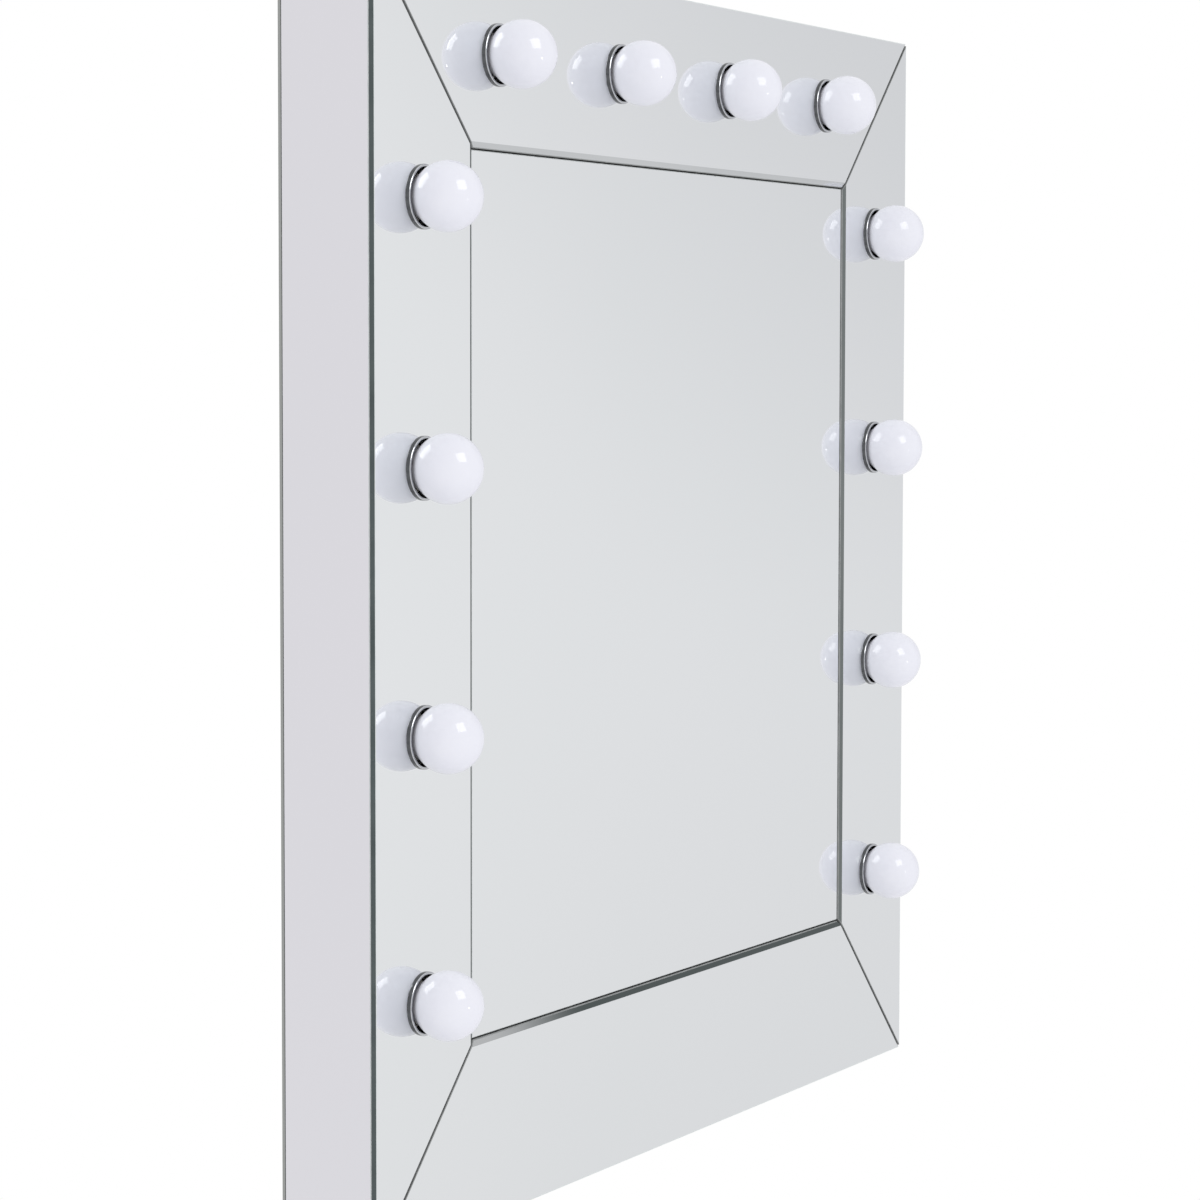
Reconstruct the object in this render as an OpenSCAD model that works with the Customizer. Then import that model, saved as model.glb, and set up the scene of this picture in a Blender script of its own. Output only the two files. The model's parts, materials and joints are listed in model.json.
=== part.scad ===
// Lighted vanity mirror: a wall-hung, mirror-clad box with globe lamps on three sides.
// X runs to the right, Z up, and Y into the wall. The origin is on the wall, at the
// centre of the back, so the front glass lies at y = -box_depth.

/* [Mirror] */
// Width over the outer edges of the front glass
mirror_width = 800; // [800:10:1000]
// Height over the outer edges of the front glass
mirror_height = 800; // [800:10:1000]
// Depth of the box, from the wall to the front glass
box_depth = 68; // [68:1:80]
// Width of the four front strips, with their bevel
strip_width = 118; // [110:1:124]

/* [Glass] */
// Thickness of every pane
glass_thickness = 4; // [3.5:0.5:4]
// Width of the bevel along the inner edge of a strip
bevel_width = 4; // [2:0.5:8]
// Depth of that bevel at the edge
bevel_drop = 1.4; // [0.5:0.1:2]
// Gap between neighbouring panes
pane_gap = 1; // [0.8:0.1:1.5]
// Gap at the mitres of the front strips
mitre_gap = 2; // [1:0.1:2.5]
// How far the centre mirror lies behind the strips
centre_setback = 2; // [1:0.5:2.5]

/* [Lamps] */
// Distance between neighbouring lamps along a side
lamp_pitch = 166; // [150:1:168]
// Distance from a lamp's axis to the outer edge of the mirror
lamp_inset = 58; // [52:1:60]
// Diameter of a lamp's globe
globe_diameter = 44; // [43:0.5:45]
// Distance from the front glass to the centre of a globe
globe_standoff = 17; // [16.5:0.5:18]
// Outer diameter of a trim ring
ring_diameter = 40; // [40:0.5:46]
// How far a trim ring stands out from the glass
ring_height = 1.8; // [1.6:0.1:2.5]

/* [Cabinet] */
// Thickness of the front board
board_thickness = 12; // [12:1:14]
// Thickness of the rails and the hanging batten
rail_thickness = 15; // [12:1:18]
// Thickness of the back panel and the keyhole plates
back_thickness = 2; // [1.5:0.5:2.5]
// Distance between the two keyholes
keyhole_spacing = 400; // [200:10:500]

/* [Controls] */
// Distance of the rocker switch to the right of the centre
switch_x = 230; // [150:5:240]
// Distance of the cable bush to the right of the centre
bush_x = 300; // [290:5:310]
// Tilt of the rocker to each side of its middle
rocker_tilt = 10; // [6:1:10]

/* [Hidden] */
$fn = 96;
cut = 0.5; // how far a cutter runs past the face it opens

// The front face, and depths behind it
front_y = -box_depth;
board_front = glass_thickness;
board_back = board_front + board_thickness;
back_front = box_depth - back_thickness;
// Half sizes of the panes and of the box behind the side glass
half_w = mirror_width / 2;
half_h = mirror_height / 2;
case_w = half_w - glass_thickness;
case_h = half_h - glass_thickness;
inner_w = case_w - rail_thickness;
inner_h = case_h - rail_thickness;
centre_w = half_w - strip_width - pane_gap;
centre_h = half_h - strip_width - pane_gap;
rebate_play = 0.5;

// Lamps: three sides of four, counted down the left, along the top, down the right
SIDES = ["left", "top", "right"];
LAMPS_A_SIDE = 4;
LAMPS = [0 : 3 * LAMPS_A_SIDE - 1];
lamp_names = [for (s = SIDES, i = [1 : LAMPS_A_SIDE]) str(s, "_", i)];
lamp_offsets = [for (i = [0 : LAMPS_A_SIDE - 1]) (i - (LAMPS_A_SIDE - 1) / 2) * lamp_pitch];
lamp_places = concat(
    [for (d = lamp_offsets) [lamp_inset - half_w, -d]],
    [for (d = lamp_offsets) [d, half_h - lamp_inset]],
    [for (d = lamp_offsets) [half_w - lamp_inset, -d]]);

// Round parts of one lamp, seen along its axis: heights are measured out of the front glass
lamp_hole_r = 19.2;
spigot_r = 18.9;
spigot_bore_r = 17.3;
holder_collar_r = 17;
holder_mouth_r = 14;
holder_recess_r = 12;
holder_flange_r = 22;
holder_flange = 3;
holder_body_r = 14.5;
holder_bore_r = 7.3;
holder_end = -46;
boss_r = 9;
boss = 1.3;
globe_r = globe_diameter / 2;
globe_wall = 1.2;
neck_top = 1;
neck_bottom = -12;
neck_r = 9.5;
cap_thread_r = 6.95;
cap_thread_depth = 0.5;
cap_thread_pitch = 2.82;
cap_thread_turns = 6;
cap_thread_top = -15.5;
cap_tip = -39;

// Hanging batten and its keyhole plates
batten_top = half_h - 78;
batten_height = 50;
keyhole_z = batten_top - batten_height / 2;
keyhole_xs = [-keyhole_spacing / 2, keyhole_spacing / 2];
plate_size = [50, 40];
plate_play = 0.5;
keyhole_entry_r = 5;
keyhole_slot_r = 2.5;
keyhole_entry_drop = 6;
keyhole_slot_rise = 8;
pocket_width = 14;

// Wood screws through the back panel and the keyhole plates
screw_r = 1.5;
screw_head_r = 2.9;
screw_head = 1.5;
screw_length = 15;
screw_sink = 0.1; // a head lies this far below the back face
plate_screw_x = 19;
back_screws = concat(
    [for (x = [-1, -1/3, 1/3, 1], z = [-1, 1])
        [x * (inner_w - 20), z * (case_h - rail_thickness / 2)]],
    [for (x = [-1, 1], z = [-0.5, 0, 0.5])
        [x * (case_w - rail_thickness / 2), z * case_h]]);
plate_screws = [for (x = keyhole_xs, s = [-1, 1]) [x + s * plate_screw_x, keyhole_z]];

// Rocker switch, in the middle of the bottom rail's depth
controls_y = front_y + (board_back + back_front) / 2;
switch_bezel = [23, 17, 1.5];
switch_body = [19, 12.6, 22];
switch_well = [16.8, 10.6, 9.5];
switch_play = 0.2;
pivot_z = -half_h + 2;
pivot_r = 1.2;
pivot_play = 0.05;
rocker_length = 14.8;
rocker_width = 10.2;
blade = [4.8, 0.8, 8];
blade_gap = 10;

// Cable bush, beside the switch
bush_r = 7;
bush_bore_r = 4;
bush_flange_r = 10;
bush_flange = 2;
bush_lip_r = 7.8;
bush_lip = 2.5;

// Terminal block on the back of the front board, and the wires
wire_r = 1.2;
wire_depth = -holder_end + boss + wire_r;
wire_spread = 5;
block_size = [36, 14, 20];
block_z = -half_h + 60;
block_pitch = 8;
block_depth = board_back + block_size[1] / 2;

// ---- placing ----

// A block between two corners [x, z], from one depth behind the front face to another
module slab(low, high, depth_1, depth_2)
    translate([low[0], front_y + depth_1, low[1]])
        cube([high[0] - low[0], depth_2 - depth_1, high[1] - low[1]]);

// A flat outline in X and Z, given its thickness backwards from a depth
module sheet(depth, thickness)
    translate([0, front_y + depth + thickness, 0])
        rotate([90, 0, 0]) linear_extrude(thickness) children();

// A part drawn along +Z, set on a lamp's axis and pointing out of the front
module on_lamp_axis(place)
    translate([place[0], front_y, place[1]]) rotate([90, 0, 0]) children();

// A part drawn along +Z, pointing out of the back at [x, z]
module out_of_back(place)
    translate([place[0], 0, place[1]]) rotate([-90, 0, 0]) children();

// Holes through the front for the lamps of one side, or of all sides
module lamp_holes(lamps, depth)
    for (i = lamps)
        on_lamp_axis(lamp_places[i])
            translate([0, 0, -depth - cut]) cylinder(r = lamp_hole_r, h = depth + 2 * cut);

// ---- glass ----

module centre_mirror() color("gainsboro")
    slab([-centre_w, -centre_h], [centre_w, centre_h],
        centre_setback, centre_setback + glass_thickness);

// A front strip lying along the bottom: mitred ends, a bevel along its inner edge
module strip(length) {
    mitre = mitre_gap / sqrt(2);
    bevel_run = strip_width + cut;
    bevel_end = -bevel_drop * (bevel_width + cut) / bevel_width;
    difference() {
        translate([0, 0, -glass_thickness]) linear_extrude(glass_thickness)
            polygon([
                [mitre - length / 2, 0],
                [length / 2 - mitre, 0],
                [length / 2 - mitre - strip_width, strip_width],
                [mitre - length / 2 + strip_width, strip_width]]);
        translate([-length / 2, 0, 0]) rotate([90, 0, 90]) linear_extrude(length)
            polygon([
                [strip_width - bevel_width, 0],
                [bevel_run, bevel_end],
                [bevel_run, cut],
                [strip_width - bevel_width, cut]]);
    }
}

// Turns the bottom strip round to a side: 0 bottom, 90 left, 180 top, 270 right
module frame_mirror(turn, length, half, lamps) color("whitesmoke")
    difference() {
        rotate([0, turn, 0]) translate([0, front_y, -half])
            rotate([90, 0, 0]) strip(length);
        lamp_holes(lamps, glass_thickness);
    }

module frame_mirror_left() frame_mirror(90, mirror_height, half_w, [0 : 3]);
module frame_mirror_top() frame_mirror(180, mirror_width, half_h, [4 : 7]);
module frame_mirror_right() frame_mirror(270, mirror_height, half_w, [8 : 11]);
module frame_mirror_bottom() frame_mirror(0, mirror_width, half_h, []);

module side_mirror_left() color("lavender")
    slab([-half_w, -half_h], [-case_w, half_h], board_front, back_front);
module side_mirror_right() color("lavender")
    slab([case_w, -half_h], [half_w, half_h], board_front, back_front);
module side_mirror_top() color("lavender")
    slab([-case_w, case_h], [case_w, half_h], board_front, back_front);
module side_mirror_bottom() color("lavender") difference() {
    slab([-case_w, -half_h], [case_w, -case_h], board_front, back_front);
    control_openings();
}

// ---- cabinet ----

module front_board() color("dimgray") difference() {
    slab([-case_w, -case_h], [case_w, case_h], board_front, board_back);
    slab([-centre_w - rebate_play, -centre_h - rebate_play],
        [centre_w + rebate_play, centre_h + rebate_play],
        board_front - cut, centre_setback + glass_thickness);
    lamp_holes(LAMPS, board_back);
}

module screw_holes(places)
    for (p = places)
        out_of_back(p) translate([0, 0, -back_thickness - screw_length])
            cylinder(r = screw_r, h = screw_length + back_thickness + cut);

module rail_left() color("tan") difference() {
    slab([-case_w, -case_h], [-inner_w, case_h], board_back, back_front);
    screw_holes(back_screws);
}
module rail_right() color("tan") difference() {
    slab([inner_w, -case_h], [case_w, case_h], board_back, back_front);
    screw_holes(back_screws);
}
module rail_top() color("tan") difference() {
    slab([-inner_w, inner_h], [inner_w, case_h], board_back, back_front);
    screw_holes(back_screws);
}
module rail_bottom() color("tan") difference() {
    slab([-inner_w, -case_h], [inner_w, -inner_h], board_back, back_front);
    screw_holes(back_screws);
    control_openings();
}

// Three lengths in one line; the gaps behind the keyholes take the heads of the wall screws
module hanging_batten() color("burlywood") {
    ends = concat([-inner_w - pocket_width / 2], keyhole_xs, [inner_w + pocket_width / 2]);
    difference() {
        for (i = [1 : len(ends) - 1])
            slab([ends[i - 1] + pocket_width / 2, batten_top - batten_height],
                [ends[i] - pocket_width / 2, batten_top],
                back_front - rail_thickness, back_front);
        screw_holes(plate_screws);
    }
}

// A screw head's seat: the head's own cone, opened through the face
module head_seat(place)
    out_of_back(place) {
        translate([0, 0, -screw_sink - screw_head])
            cylinder(r1 = screw_r, r2 = screw_head_r, h = screw_head);
        translate([0, 0, -screw_sink]) cylinder(r = screw_head_r, h = screw_sink + cut);
    }

module back_panel() color([0.16, 0.16, 0.17]) difference() {
    slab([-half_w, -half_h], [half_w, half_h], back_front, box_depth);
    for (x = keyhole_xs)
        slab([x - plate_size[0] / 2 - plate_play, keyhole_z - plate_size[1] / 2 - plate_play],
            [x + plate_size[0] / 2 + plate_play, keyhole_z + plate_size[1] / 2 + plate_play],
            back_front - cut, box_depth + cut);
    screw_holes(back_screws);
    for (p = back_screws) head_seat(p);
}

// A round hole for a screw's head, with a narrow slot above it for its shank
module keyhole() {
    translate([0, -keyhole_entry_drop]) circle(r = keyhole_entry_r);
    translate([0, keyhole_slot_rise]) circle(r = keyhole_slot_r);
    translate([-keyhole_slot_r, -keyhole_entry_drop])
        square([2 * keyhole_slot_r, keyhole_entry_drop + keyhole_slot_rise]);
}

module keyhole_plates() color("silver") difference() {
    sheet(back_front, back_thickness)
        for (x = keyhole_xs)
            translate([x, keyhole_z]) difference() {
                square(plate_size, center = true);
                keyhole();
            }
    screw_holes(plate_screws);
    for (p = plate_screws) head_seat(p);
}

module wood_screws() color("gold")
    for (p = concat(back_screws, plate_screws))
        out_of_back(p) {
            translate([0, 0, -screw_sink - screw_head])
                cylinder(r1 = screw_r, r2 = screw_head_r, h = screw_head);
            translate([0, 0, -screw_length]) cylinder(r = screw_r, h = screw_length - screw_head);
        }

// ---- lamps ----

module trim_ring(i) {
    lip_r = 0.9;
    lip_inner_r = ring_diameter / 2 - 1.5;
    lip = [for (a = [0 : 15 : 90])
        [ring_diameter / 2 - lip_r + lip_r * cos(a), ring_height - lip_r + lip_r * sin(a)]];
    color("silver") on_lamp_axis(lamp_places[i])
        rotate_extrude() polygon(concat(
            [[spigot_bore_r, -board_back], [spigot_r, -board_back],
             [spigot_r, 0], [ring_diameter / 2, 0]],
            lip,
            [[lip_inner_r, ring_height], [spigot_bore_r, -0.8]]));
}

// Solid outline of a globe with its neck; inset makes the smaller one that hollows it
module globe_outline(inset) {
    neck_top_r = sqrt(pow(globe_r, 2) - pow(globe_standoff - neck_top, 2));
    translate([0, 0, globe_standoff]) sphere(r = globe_r - inset, $fn = 128);
    translate([0, 0, neck_bottom])
        cylinder(r1 = neck_r - inset, r2 = neck_top_r - inset, h = neck_top - neck_bottom);
}

module bulb_globe(i) color("white") on_lamp_axis(lamp_places[i])
    difference() {
        globe_outline(0);
        globe_outline(globe_wall);
        translate([0, 0, neck_bottom - cut])
            cylinder(r = neck_r - globe_wall, h = 2 * cut);
    }

// The screw cap: flared skirt, threaded shell, insulator and centre contact
module bulb_cap(i) {
    skirt_r = 8.2;
    thread_end = cap_thread_top - cap_thread_turns * cap_thread_pitch;
    thread = [for (t = [0 : cap_thread_turns - 1], s = [[0, 0], [0.25, 0], [0.5, 1], [0.75, 1]])
        [cap_thread_r - cap_thread_depth * s[1],
         cap_thread_top - (t + s[0]) * cap_thread_pitch]];
    color("silver") on_lamp_axis(lamp_places[i])
        rotate_extrude() polygon(concat(
            [[0, neck_bottom], [skirt_r, neck_bottom], [skirt_r, neck_bottom - 0.8]],
            thread,
            [[cap_thread_r - cap_thread_depth, thread_end], [3.5, cap_tip + 1.6],
             [2.4, cap_tip + 1.4], [1.8, cap_tip], [0, cap_tip]]));
}

module lampholders() color("ivory")
    for (i = LAMPS)
        on_lamp_axis(lamp_places[i]) difference() {
            union() {
                translate([0, 0, -board_back - holder_flange])
                    cylinder(r = holder_flange_r, h = holder_flange);
                translate([0, 0, -board_back]) cylinder(r = holder_collar_r, h = 7);
                translate([0, 0, holder_end])
                    cylinder(r = holder_body_r, h = -board_back - holder_end);
                translate([0, 0, holder_end - boss]) cylinder(r = boss_r, h = boss);
            }
            translate([0, 0, cap_tip - 0.4]) cylinder(r = holder_bore_r, h = -cap_tip);
            translate([0, 0, -board_back - 2]) cylinder(r = holder_recess_r, h = board_back);
            translate([0, 0, -board_back]) cylinder(r = holder_mouth_r, h = board_back);
        }

// ---- wiring ----

// A wire along corners [x, depth, z], each run along one axis
module wire(points) {
    for (k = [0 : len(points) - 1])
        translate([points[k][0], front_y + points[k][1], points[k][2]])
            sphere(r = wire_r, $fn = 24);
    for (k = [1 : len(points) - 1]) {
        run = points[k] - points[k - 1];
        turn = run[0] != 0 ? [0, 90, 0] : run[1] != 0 ? [90, 0, 0] : [0, 0, 0];
        middle = (points[k] + points[k - 1]) / 2;
        translate([middle[0], front_y + middle[1], middle[2]]) rotate(turn)
            cylinder(r = wire_r, h = norm(run), center = true, $fn = 24);
    }
}

// One of the two wires that pass behind every lampholder; side is 1 inside, -1 outside
module lamp_wire(side) {
    x = half_w - lamp_inset - side * wire_spread;
    top = half_h - lamp_inset - side * wire_spread;
    start = lamp_places[LAMPS_A_SIDE - 1][1] - boss_r;
    turn_z = block_z + 40 - side * block_pitch / 2;
    end_z = block_z + side * block_pitch / 2;
    wire([
        [-x, wire_depth, start], [-x, wire_depth, top], [x, wire_depth, top],
        [x, wire_depth, turn_z], [x, block_depth, turn_z], [x, block_depth, end_z],
        [bush_x + block_size[0] / 2 + wire_r, block_depth, end_z]]);
}

// A wire from one blade of the switch to the terminal block
module switch_wire(side) {
    x = switch_x - side * blade_gap / 2;
    depth = controls_y - front_y;
    start = -half_h + switch_body[2] + blade[2] + wire_r;
    end_z = block_z + side * block_pitch / 2;
    wire([
        [x, depth, start], [x, depth, end_z], [x, block_depth, end_z],
        [bush_x - block_size[0] / 2 - wire_r, block_depth, end_z]]);
}

module wiring_loom() color("saddlebrown")
    for (side = [1, -1]) {
        lamp_wire(side);
        switch_wire(side);
    }

module terminal_block() color("ivory")
    translate([bush_x, front_y + board_back, block_z]) difference() {
        union() {
            translate([-block_size[0] / 2, 0, -block_size[2] / 2])
                cube([block_size[0], block_size[1] / 2, block_size[2]]);
            for (z = [-1, 1])
                translate([-block_size[0] / 2, 0, z * block_pitch / 2 - 3])
                    cube([block_size[0], block_size[1] - 3, 6]);
            for (z = [-1, 1])
                translate([0, block_size[1] - 3, z * block_pitch / 2]) rotate([0, 90, 0])
                    cylinder(r = 3, h = block_size[0], center = true);
        }
        for (x = [-10, 10], z = [-1, 1])
            translate([x, block_size[1] / 2 + 1, z * block_pitch / 2]) rotate([-90, 0, 0])
                cylinder(r = 1.8, h = block_size[1]);
    }

// ---- controls ----

module control_openings() {
    high = rail_thickness + glass_thickness + 2 * cut;
    translate([switch_x, controls_y, -half_h - cut + high / 2])
        cube([switch_body[0] + 2 * switch_play, switch_body[1] + 2 * switch_play, high],
            center = true);
    translate([bush_x, controls_y, -half_h - cut]) cylinder(r = bush_r, h = high);
}

// Rubber bush that lines the cable's way out through the bottom
module cable_bush() color([0.12, 0.12, 0.12])
    translate([bush_x, controls_y, -half_h]) difference() {
        union() {
            translate([0, 0, -bush_flange]) cylinder(r = bush_flange_r, h = bush_flange);
            cylinder(r = bush_r, h = glass_thickness + rail_thickness);
            translate([0, 0, glass_thickness + rail_thickness])
                cylinder(r1 = bush_lip_r, r2 = bush_r, h = bush_lip);
        }
        translate([0, 0, -bush_flange - cut])
            cylinder(r = bush_bore_r,
                h = bush_flange + glass_thickness + rail_thickness + bush_lip + 2 * cut);
    }

module switch_housing() color([0.1, 0.1, 0.1])
    translate([switch_x, controls_y, -half_h]) {
        difference() {
            union() {
                translate([0, 0, -switch_bezel[2] / 2]) cube(switch_bezel, center = true);
                translate([0, 0, switch_body[2] / 2]) cube(switch_body, center = true);
            }
            translate([0, 0, -switch_bezel[2] - cut + (switch_well[2] + cut) / 2])
                cube([switch_well[0], switch_well[1], switch_well[2] + cut], center = true);
            translate([0, 0, pivot_z + half_h]) rotate([90, 0, 0])
                cylinder(r = pivot_r + pivot_play, h = switch_body[1] + 2 * cut, center = true);
        }
        for (x = [-1, 1])
            translate([x * blade_gap / 2, 0, switch_body[2] + blade[2] / 2])
                cube(blade, center = true);
    }

// The rocker: a shallow V that tilts on two stub pins, drawn in its off position
module switch_rocker() color([0.08, 0.08, 0.08])
    translate([switch_x, controls_y, pivot_z]) rotate([0, -rocker_tilt, 0]) {
        rotate([90, 0, 0]) linear_extrude(rocker_width, center = true)
            polygon([
                [-rocker_length / 2, 0.3], [-rocker_length / 2, -4.3], [0, -3.2],
                [rocker_length / 2, -4.3], [rocker_length / 2, 0.3], [2, 2], [-2, 2]]);
        rotate([90, 0, 0])
            cylinder(r = pivot_r, h = switch_body[1] - 2 * pivot_play, center = true);
    }

centre_mirror();
frame_mirror_left();
frame_mirror_right();
frame_mirror_top();
frame_mirror_bottom();
side_mirror_left();
side_mirror_right();
side_mirror_top();
side_mirror_bottom();
front_board();
rail_left();
rail_right();
rail_top();
rail_bottom();
hanging_batten();
back_panel();
keyhole_plates();
wood_screws();
for (i = LAMPS) {
    trim_ring(i);
    bulb_globe(i);
    bulb_cap(i);
}
lampholders();
wiring_loom();
terminal_block();
cable_bush();
switch_housing();
switch_rocker();
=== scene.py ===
"""Looks of a lighted vanity mirror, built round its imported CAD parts.

X runs to the right, Z up and Y into the wall, in metres. The CAD parts are a fixed frame:
the pieces made here take their places and sizes from them.
"""

import json
import math

import bmesh
import bpy
from mathutils import Matrix, Vector

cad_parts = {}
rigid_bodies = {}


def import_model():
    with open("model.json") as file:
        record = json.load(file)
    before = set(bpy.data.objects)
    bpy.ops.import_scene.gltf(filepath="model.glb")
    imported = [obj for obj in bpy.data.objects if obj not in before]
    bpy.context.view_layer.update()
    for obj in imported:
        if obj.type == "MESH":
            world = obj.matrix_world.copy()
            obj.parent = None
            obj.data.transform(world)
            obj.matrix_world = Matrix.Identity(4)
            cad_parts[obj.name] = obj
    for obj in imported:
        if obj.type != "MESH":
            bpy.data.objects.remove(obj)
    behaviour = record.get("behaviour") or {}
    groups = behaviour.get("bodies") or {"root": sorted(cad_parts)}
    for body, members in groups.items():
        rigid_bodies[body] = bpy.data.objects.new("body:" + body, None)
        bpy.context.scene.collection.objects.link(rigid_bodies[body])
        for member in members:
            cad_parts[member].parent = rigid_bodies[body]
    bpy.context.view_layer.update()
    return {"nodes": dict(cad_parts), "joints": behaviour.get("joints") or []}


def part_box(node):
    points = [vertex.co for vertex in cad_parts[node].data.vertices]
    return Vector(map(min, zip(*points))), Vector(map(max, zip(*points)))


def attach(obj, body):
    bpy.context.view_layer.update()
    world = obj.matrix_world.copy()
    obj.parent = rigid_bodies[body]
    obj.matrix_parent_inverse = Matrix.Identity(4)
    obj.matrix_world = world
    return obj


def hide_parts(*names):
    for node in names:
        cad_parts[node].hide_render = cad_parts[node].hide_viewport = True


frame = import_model()
NODES = frame["nodes"]
MM = 0.001

# ---- places and sizes, read from the frame ----

FRONT_LOW, FRONT_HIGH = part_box("frame_mirror_bottom")
CENTRE_LOW, CENTRE_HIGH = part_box("centre_mirror")
FRONT_Y = FRONT_LOW.y
GLASS = FRONT_HIGH.y - FRONT_LOW.y
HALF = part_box("back_panel")[1].x
STRIP = FRONT_HIGH.z - FRONT_LOW.z
STRIP_END = FRONT_HIGH.x
LAMPS = [f"{side}_{i}" for side in ("left", "top", "right") for i in (1, 2, 3, 4)]


def middle(node):
    low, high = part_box(node)
    return (low + high) / 2


LAMP_CENTRES = {
    lamp: Vector((middle(f"bulb_globe_{lamp}").x, FRONT_Y, middle(f"bulb_globe_{lamp}").z))
    for lamp in LAMPS}

# These turn a piece that is drawn in X and Y, with Z outwards, to a face of the box
OUT_OF_FRONT = Matrix(((1, 0, 0, 0), (0, 0, -1, 0), (0, 1, 0, 0), (0, 0, 0, 1)))
OUT_OF_BACK = Matrix(((-1, 0, 0, 0), (0, 0, 1, 0), (0, 1, 0, 0), (0, 0, 0, 1)))
OUT_OF_BOTTOM = Matrix(((-1, 0, 0, 0), (0, 1, 0, 0), (0, 0, -1, 0), (0, 0, 0, 1)))


def islands(node):
    """The boxes of a node's separate solids, each as (low, high)."""
    bm = bmesh.new()
    bm.from_mesh(NODES[node].data)
    bmesh.ops.remove_doubles(bm, verts=bm.verts, dist=1e-6)
    boxes = []
    seen = set()
    for start in bm.verts:
        if start in seen:
            continue
        seen.add(start)
        reached = [start]
        for vert in reached:
            others = [edge.other_vert(vert) for edge in vert.link_edges]
            fresh = [other for other in others if other not in seen]
            seen.update(fresh)
            reached.extend(fresh)
        low, high = (Vector(pick(vert.co[k] for vert in reached) for k in range(3)) for pick in (min, max))
        boxes.append((low, high))
    bm.free()
    return boxes


# ---- materials ----

# Sockets of a Mix node that mixes two colours; they share their names with its other sockets
FIRST_COLOUR, SECOND_COLOUR, MIXED_COLOUR = 6, 7, 2


class Material:
    """A material with one Principled shader, and the few node chains that these looks need."""

    def __init__(self, name, **sockets):
        self.material = bpy.data.materials.new(name)
        self.material.use_nodes = True
        self.tree = self.material.node_tree
        self.shader = self.tree.nodes["Principled BSDF"]
        self.coordinates = self.tree.nodes.new("ShaderNodeTexCoord")
        for socket, value in sockets.items():
            self.shader.inputs[socket.replace("_", " ")].default_value = value

    def drive(self, socket, output):
        self.tree.links.new(output, self.shader.inputs[socket])

    def part_of(self, space, axis):
        """One coordinate of the piece's Object or Normal space."""
        split = self.tree.nodes.new("ShaderNodeSeparateXYZ")
        self.tree.links.new(self.coordinates.outputs[space], split.inputs["Vector"])
        return split.outputs[axis]

    def stretched(self, stretch):
        """The place on the piece, scaled along each axis."""
        mapping = self.tree.nodes.new("ShaderNodeMapping")
        mapping.inputs["Scale"].default_value = stretch
        self.tree.links.new(self.coordinates.outputs["Object"], mapping.inputs["Vector"])
        return mapping.outputs["Vector"]

    def noise(self, scale, detail=3.0, stretch=(1, 1, 1), distortion=0.0):
        """Noise over the piece, with scale in features per metre."""
        texture = self.tree.nodes.new("ShaderNodeTexNoise")
        texture.inputs["Scale"].default_value = scale
        texture.inputs["Detail"].default_value = detail
        texture.inputs["Distortion"].default_value = distortion
        self.tree.links.new(self.stretched(stretch), texture.inputs["Vector"])
        return texture.outputs["Fac"]

    def cells(self, scale, stretch=(1, 1, 1)):
        """Distance to the nearest of many scattered points."""
        texture = self.tree.nodes.new("ShaderNodeTexVoronoi")
        texture.inputs["Scale"].default_value = scale
        self.tree.links.new(self.stretched(stretch), texture.inputs["Vector"])
        return texture.outputs["Distance"]

    def colours(self, factor, low, high, start=0.35, end=0.65):
        """The base colour goes from low to high as the factor goes from start to end."""
        node = self.tree.nodes.new("ShaderNodeValToRGB")
        for element, position, colour in zip(node.color_ramp.elements, (start, end), (low, high)):
            element.position = position
            element.color = (*colour, 1.0)
        self.tree.links.new(factor, node.inputs["Fac"])
        self.drive("Base Color", node.outputs["Color"])

    def roughness(self, factor, low, high, start=0.35, end=0.65):
        """The roughness goes from low to high as the factor goes from start to end."""
        node = self.tree.nodes.new("ShaderNodeMapRange")
        for socket, value in zip(("From Min", "From Max", "To Min", "To Max"), (start, end, low, high)):
            node.inputs[socket].default_value = value
        self.tree.links.new(factor, node.inputs["Value"])
        self.drive("Roughness", node.outputs["Result"])

    def bump(self, height, distance, strength=1.0):
        """Relief from a height that runs from 0 to 1 over the distance."""
        node = self.tree.nodes.new("ShaderNodeBump")
        node.inputs["Distance"].default_value = distance
        node.inputs["Strength"].default_value = strength
        self.tree.links.new(height, node.inputs["Height"])
        self.drive("Normal", node.outputs["Normal"])


def silvered_glass():
    """Mirror glass: a cold tint that drifts over the pane, and faint wiping marks in the gloss."""
    look = Material("silvered_glass", Metallic=1.0)
    look.colours(look.noise(2.2, 2.0), (0.85, 0.867, 0.871), (0.86, 0.871, 0.877))
    look.roughness(look.noise(14.0, 6.0, (1.0, 0.35, 1.0), 2.0), 0.012, 0.035)
    return look.material


def bevel_with_painted_reflection(name, low, high):
    """A polished bevel, tinted by the glass's green, whose tone is painted reflection: each side gets its
    own lighter or darker copy.
    """
    look = Material(name, Metallic=1.0)
    look.colours(look.noise(6.0, 3.0, (1.0, 8.0, 1.0)), low, high)
    look.roughness(look.noise(40.0, 4.0), 0.04, 0.09)
    return look.material


def bevel_with_fading_painted_reflection(light, dark, start, end):
    """The bottom bevel, whose painted reflection darkens along its length between two places, in metres."""
    look = Material("bottom_bevel_painted_reflection", Metallic=1.0)
    along = look.tree.nodes.new("ShaderNodeMapRange")
    along.interpolation_type = "SMOOTHSTEP"
    along.inputs["From Min"].default_value = start
    along.inputs["From Max"].default_value = end
    look.tree.links.new(look.part_of("Object", "X"), along.inputs["Value"])
    look.colours(along.outputs["Result"], light, dark, 0.0, 1.0)
    look.roughness(look.noise(40.0, 4.0), 0.04, 0.09)
    return look.material


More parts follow.
